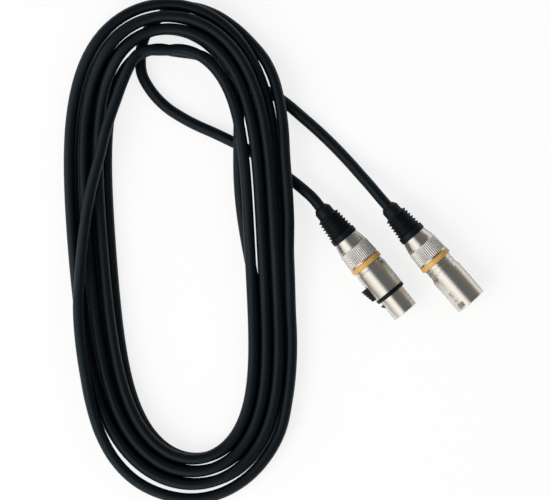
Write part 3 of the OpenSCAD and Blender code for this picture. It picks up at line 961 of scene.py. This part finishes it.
def coding_ring(side, matrix):
    mesh = turned(
        "coding",
        [
            (THREAD_R, RING_BACK), (9.7, RING_BACK), (10.0, RING_BACK + 0.35),
            (10.0, RING_FRONT - 0.35), (9.7, RING_FRONT), (THREAD_R, RING_FRONT),
        ],
        0.25,
    )
    name = side + "_coding_ring"
    placed(name + "_plastic", painted(mesh, RING_PLASTIC), matrix, ROOT, "coding_ring", name)


for side, matrix, metal in (("female", IN_FEMALE, NICKEL_F), ("male", IN_MALE, NICKEL_M)):
    boot(side, matrix)
    bushing(side, matrix, metal)
    coding_ring(side, matrix)
print("rear halves done")

# %% [markdown]
# ## The female shell
#
# The barrel and the nose are one casting, turned first and then cut: a pocket for the latch
# lever that opens as a slot in the nose, a window for the button and a cross hole for the pin.

# %% Female shell
PIVOT_Y = -7.2
PIVOT_HOLE_R = 0.8
POCKET_Y = (-8.8, -5)
PIVOT_Z = RING_FRONT + 5.5
INSERT_BACK = RING_FRONT + 12
LEVER_FRONT = FEMALE_FRONT + 6.6
BUTTON_BACK = FEMALE_FRONT - 9.5
BUTTON_LENGTH = 8.6


def cross_hole(radius, half, y, z, sides=32):
    mesh = turned("hole", [(0, -half), (radius, -half), (radius, half), (0, half)], 0, sides)
    mesh.transform(Matrix.Translation((0, y, z)) @ Matrix.Rotation(math.pi / 2, 4, "Y"))
    return mesh


female_body = turned(
    "female_body",
    [
        (SHELL_BORE, SLEEVE_BACK), (SLEEVE_R, SLEEVE_BACK), (SLEEVE_R, RING_FRONT),
        (9.0, RING_FRONT), (9.0, RING_FRONT + 1.0), (8.85, RING_FRONT + 1.15),
        (8.85, RING_FRONT + 1.5), (9.0, RING_FRONT + 1.65), (9.0, RING_FRONT + 2.1),
        (BARREL_R, RING_FRONT + 2.6), (BARREL_R, FEMALE_FRONT - 0.2),
        (BARREL_R - 0.2, FEMALE_FRONT), (NOSE_R, FEMALE_FRONT), (NOSE_R, NOSE_END - 0.4),
        (NOSE_R - 0.4, NOSE_END), (INSERT_R, NOSE_END), (INSERT_R, INSERT_BACK),
        (SHELL_BORE, INSERT_BACK),
    ],
    0.14,
)
pocket = boxed("pocket", (-2.6, 2.6), POCKET_Y, (PIVOT_Z - 2, LEVER_FRONT + 1.5))
window = boxed(
    "window", (-3.3, 3.3), (-14, -6.5), (BUTTON_BACK - 0.3, BUTTON_BACK + BUTTON_LENGTH + 0.45)
)
pin_hole = cross_hole(PIVOT_HOLE_R, 4.25, PIVOT_Y, PIVOT_Z)
female_mesh = carved(female_body, [pocket, window, pin_hole])
placed(
    "female_shell_nickel", painted(female_mesh, NICKEL_F), IN_FEMALE, ROOT, "nickel", "female_shell"
)
shock = turned(
    "shock",
    [
        (NOSE_R + 0.05, FEMALE_FRONT), (9.3, FEMALE_FRONT), (9.5, FEMALE_FRONT + 0.25),
        (9.5, FEMALE_FRONT + 1.8), (8.9, FEMALE_FRONT + 2.4), (NOSE_R + 0.05, FEMALE_FRONT + 2.4),
    ],
    0.25,
)
placed(
    "female_shock_rubber", painted(shock, RUBBER), IN_FEMALE, ROOT, "shock_rubber",
    "female_shock_ring",
)
print("female shell faces", len(female_mesh.polygons))

# %% [markdown]
# ## The latch
#
# The button is a ridged plastic cap on a steel lever. Both ride on the latch body, which turns
# about the cross pin, so the hook sinks into the nose when the button is pressed.

# %% Latch
BUTTON_RIDGES = 5


def extruded(name, outline, half):
    """A flat outline of y and z, drawn out along x to both sides."""
    count = len(outline)
    verts = [(-half, y, z) for y, z in outline] + [(half, y, z) for y, z in outline]
    faces = [tuple(range(count - 1, -1, -1)), tuple(range(count, 2 * count))]
    faces += [(i, (i + 1) % count, count + (i + 1) % count, count + i) for i in range(count)]
    return tidy(mesh_of(name, verts, faces))


BUTTON_RISE = 3.3
BUTTON_FALL = 1.7
LEVER_IN = -6.4
LEVER_OUT = -7.6
LEVER_HALF_W = 2.1
step_down = BUTTON_FALL / BUTTON_RIDGES
pitch = BUTTON_LENGTH / BUTTON_RIDGES
teeth = [(LEVER_OUT, BUTTON_BACK)]
for i in range(BUTTON_RIDGES):
    back = BUTTON_BACK + i * pitch
    out = -BARREL_R - BUTTON_RISE + i * step_down
    teeth += [
        (out, back + 0.02 * pitch), (out, back + 0.45 * pitch),
        (out + step_down + 0.45, back + 0.95 * pitch),
    ]
teeth += [(LEVER_OUT, BUTTON_BACK + BUTTON_LENGTH)]
button = carved(extruded("button", teeth, 3.0), [])
placed(
    "latch_button_cap", painted(button, BLACK_PLASTIC), IN_FEMALE, LATCH, "button_plastic",
    "latch_button",
)
hook_out = -NOSE_R - 1.15
hook_back = LEVER_FRONT - 2.6
lever_outline = [
    (LEVER_IN, PIVOT_Z), (LEVER_OUT, PIVOT_Z), (LEVER_OUT, hook_back), (hook_out, hook_back),
    (hook_out, hook_back + 0.9), (LEVER_OUT, LEVER_FRONT), (LEVER_IN, LEVER_FRONT),
]
eye = cross_hole(1.35, LEVER_HALF_W, PIVOT_Y, PIVOT_Z)
room_for_spring = boxed("room", (0.8, 3.1), POCKET_Y, (PIVOT_Z - 2, PIVOT_Z + 2.4))
lever = carved(
    extruded("lever", lever_outline, LEVER_HALF_W),
    [cross_hole(PIVOT_HOLE_R, 3.0, PIVOT_Y, PIVOT_Z), room_for_spring],
    [eye],
    0.1,
)
placed(
    "latch_lever_steel", painted(lever, SPRING_STEEL), IN_FEMALE, LATCH, "latch_steel",
    "latch_lever",
)
print("latch ready")

# %% [markdown]
# ## The male shell
#
# The male barrel is an open cup round three pins. Behind it, the neck carries two fine grooves.
# A window near the mouth takes the latch hook. Behind it, two shallow pressed lines run across.

# %% Male shell
WINDOW_ANGLE = 220
PRESSED_DEPTH = 0.18
PRESSED_WIDTH = 0.5
SHOULDER = RING_FRONT + 12.1
MALE_INSERT_BACK = RING_FRONT + 7
MALE_INSERT_FRONT = SHOULDER + 5.1
NECK_R = BARREL_R - 0.7
male_body = turned(
    "male_body",
    [
        (SHELL_BORE, SLEEVE_BACK), (SLEEVE_R, SLEEVE_BACK), (SLEEVE_R, RING_FRONT),
        (NECK_R, RING_FRONT), (NECK_R, RING_FRONT + 1.8), (NECK_R - 0.4, RING_FRONT + 1.95),
        (NECK_R - 0.4, RING_FRONT + 2.35), (NECK_R, RING_FRONT + 2.5),
        (NECK_R, RING_FRONT + 4.7), (NECK_R - 0.4, RING_FRONT + 4.85),
        (NECK_R - 0.4, RING_FRONT + 5.25), (NECK_R, RING_FRONT + 5.4),
        (NECK_R, MALE_NECK_FRONT - 1.8), (BARREL_R, MALE_NECK_FRONT),
        (BARREL_R, MALE_END - 0.4), (BARREL_R - 0.4, MALE_END), (CAVITY_R, MALE_END),
        (CAVITY_R, SHOULDER), (INSERT_R, SHOULDER), (INSERT_R, MALE_INSERT_BACK),
        (SHELL_BORE, MALE_INSERT_BACK),
    ],
    0.14,
)
key = turned_box(
    "key", (CAVITY_R - 0.8, CAVITY_R + 0.3), (-1, 1),
    (MALE_INSERT_FRONT, MALE_INSERT_FRONT + 8), WINDOW_ANGLE,
)
latch_window = turned_box(
    "latch_window", (CAVITY_R - 1, BARREL_R + 1), (-2.5, 2.5),
    (MALE_END - 4.4, MALE_END - 1.4), WINDOW_ANGLE,
)
pressed = [
    turned_box(
        "pressed", (BARREL_R - PRESSED_DEPTH, BARREL_R + 1), (-2.6, 2.6),
        (MALE_END - back, MALE_END - back + PRESSED_WIDTH), WINDOW_ANGLE,
    )
    for back in (12.6, 7.5)
]
male_mesh = carved(male_body, [latch_window] + pressed, [key])
placed("male_shell_nickel", painted(male_mesh, NICKEL_M), IN_MALE, ROOT, "nickel", "male_shell")
print("male shell faces", len(male_mesh.polygons))

# %% [markdown]
# ## Parts that stay as the model has them
#
# Inserts, contacts, collets, wires, the cross pin and its spring have the right shape already.
# They only need their finish.

# %% Finishes for the inner parts
KEPT = {
    "female_insert": BLACK_PLASTIC, "male_insert": BLACK_PLASTIC,
    "female_chuck": WHITE_PLASTIC, "male_chuck": WHITE_PLASTIC,
    "female_cable_end": RUBBER, "male_cable_end": RUBBER,
    "latch_pivot_pin": SPRING_STEEL, "latch_spring": SPRING_STEEL,
}
for number, material in ((1, WIRE_RED), (2, WIRE_WHITE), (3, WIRE_BARE)):
    KEPT["female_socket_%d" % number] = CONTACT
    KEPT["male_pin_%d" % number] = CONTACT
    KEPT["female_wire_%d" % number] = material
    KEPT["male_wire_%d" % number] = material
for name, material in KEPT.items():
    part = bpy.data.objects[name]
    for slot in part.material_slots:
        slot.material = material
    if not part.material_slots:
        part.data.materials.append(material)
print("kept parts", len(KEPT))

# %% The female pieces, and the cable's path in metres
FEMALE_PIECES = [
    "female_boot_rubber", "female_bushing_nickel", "female_bushing_knurl",
    "female_coding_ring_plastic", "female_shell_nickel", "female_shock_rubber",
    "latch_button_cap", "latch_lever_steel", "female_insert", "female_chuck",
    "female_cable_end", "latch_pivot_pin", "latch_spring",
]
FEMALE_PIECES += ["female_socket_%d" % n for n in (1, 2, 3)]
FEMALE_PIECES += ["female_wire_%d" % n for n in (1, 2, 3)]
path_m = [p * MM for p in cable_path]
print("true length", round(cable_length * MM, 3), "m")

# %% [markdown]
# ## Table top and light
#
# The table is white, and it stays white in the camera's eye while it keeps a faint shadow. The
# light is a wide soft box from the lower left and a weaker one from the upper right. The room is
# bright towards the lower left and dark towards the upper right, which the nickel shows as bands.

# %% Floor, world and lamps
FLOOR_DROP = 0.2 * MM
FLOOR_HALF = 4
corners = [(x * FLOOR_HALF, y * FLOOR_HALF, 0) for x, y in ((-1, -1), (1, -1), (1, 1), (-1, 1))]
floor_mesh = mesh_of("floor", corners, [(0, 1, 2, 3)])
floor_mesh.transform(Matrix.Translation((0, 0, -FLOOR_DROP)))
floor = link("floor", floor_mesh)
paper = bpy.data.materials.new("floor_paper")
paper.use_nodes = True
nodes, links = paper.node_tree.nodes, paper.node_tree.links
nodes.clear()
seen = nodes.new("ShaderNodeLightPath")
matt = nodes.new("ShaderNodeBsdfDiffuse")
matt.inputs["Color"].default_value = (0.9, 0.9, 0.9, 1)
white = nodes.new("ShaderNodeEmission")
white.inputs["Color"].default_value = (1, 1, 1, 1)
white.inputs["Strength"].default_value = 1.0
share_seen = nodes.new("ShaderNodeMath")
share_seen.operation = "MULTIPLY"
share_seen.inputs[1].default_value = 0.8
mixed = nodes.new("ShaderNodeMixShader")
surface = nodes.new("ShaderNodeOutputMaterial")
links.new(seen.outputs["Is Camera Ray"], share_seen.inputs[0])
links.new(share_seen.outputs[0], mixed.inputs[0])
links.new(matt.outputs[0], mixed.inputs[1])
links.new(white.outputs[0], mixed.inputs[2])
links.new(mixed.outputs[0], surface.inputs[0])
floor.data.materials.append(paper)

world = bpy.data.worlds.new("studio")
bpy.context.scene.world = world
world.use_nodes = True
air = world.node_tree
air.nodes.clear()
direction = air.nodes.new("ShaderNodeTexCoord")
lean = air.nodes.new("ShaderNodeVectorMath")
lean.operation = "DOT_PRODUCT"
lean.inputs[1].default_value = (-0.76, -0.65, 0.0)
ramp = air.nodes.new("ShaderNodeValToRGB")
STOPS = [
    (0.0, (0.27, 0.225, 0.18)), (0.06, (0.19, 0.17, 0.145)), (0.15, (0.14, 0.14, 0.135)),
    (0.36, (0.14, 0.152, 0.155)), (0.52, (0.045, 0.052, 0.054)), (0.59, (0.34, 0.335, 0.33)),
    (0.66, (1.2, 1.17, 1.12)), (0.8, (1.4, 1.37, 1.32)), (0.94, (1.1, 1.06, 1.0)),
    (1.0, (0.55, 0.49, 0.43)),
]
while len(ramp.color_ramp.elements) < len(STOPS):
    ramp.color_ramp.elements.new(0.5)
for element, (stop, colour) in zip(ramp.color_ramp.elements, STOPS):
    element.position = stop
    element.color = (*colour, 1)
scaled = air.nodes.new("ShaderNodeMath")
scaled.operation = "MULTIPLY_ADD"
scaled.inputs[1].default_value = 0.5
scaled.inputs[2].default_value = 0.5
path_kind = air.nodes.new("ShaderNodeLightPath")
room = air.nodes.new("ShaderNodeBackground")
blank = air.nodes.new("ShaderNodeBackground")
blank.inputs["Color"].default_value = (1, 1, 1, 1)
choice = air.nodes.new("ShaderNodeMixShader")
sky = air.nodes.new("ShaderNodeOutputWorld")
air.links.new(direction.outputs["Generated"], lean.inputs[0])
air.links.new(lean.outputs["Value"], scaled.inputs[0])
air.links.new(scaled.outputs[0], ramp.inputs[0])
air.links.new(ramp.outputs[0], room.inputs["Color"])
air.links.new(path_kind.outputs["Is Camera Ray"], choice.inputs[0])
air.links.new(room.outputs[0], choice.inputs[1])
air.links.new(blank.outputs[0], choice.inputs[2])
air.links.new(choice.outputs[0], sky.inputs[0])


def lamp(name, spot, target, size, power):
    data = bpy.data.lights.new(name, "AREA")
    data.shape = "SQUARE"
    data.size = size
    data.energy = power
    item = bpy.data.objects.new(name, data)
    item.location = spot
    item.rotation_mode = "QUATERNION"
    item.rotation_quaternion = (Vector(target) - Vector(spot)).to_track_quat("-Z", "Y")
    bpy.context.collection.objects.link(item)
    item.visible_glossy = False


lamp("key", (-0.9, -0.7, 1.1), (0, 0, 0), 1.0, 16)
lamp("fill", (0.8, 0.9, 1.3), (0, 0, 0), 1.2, 8)

bpy.context.scene.view_settings.view_transform = "Standard"
print("stage ready")
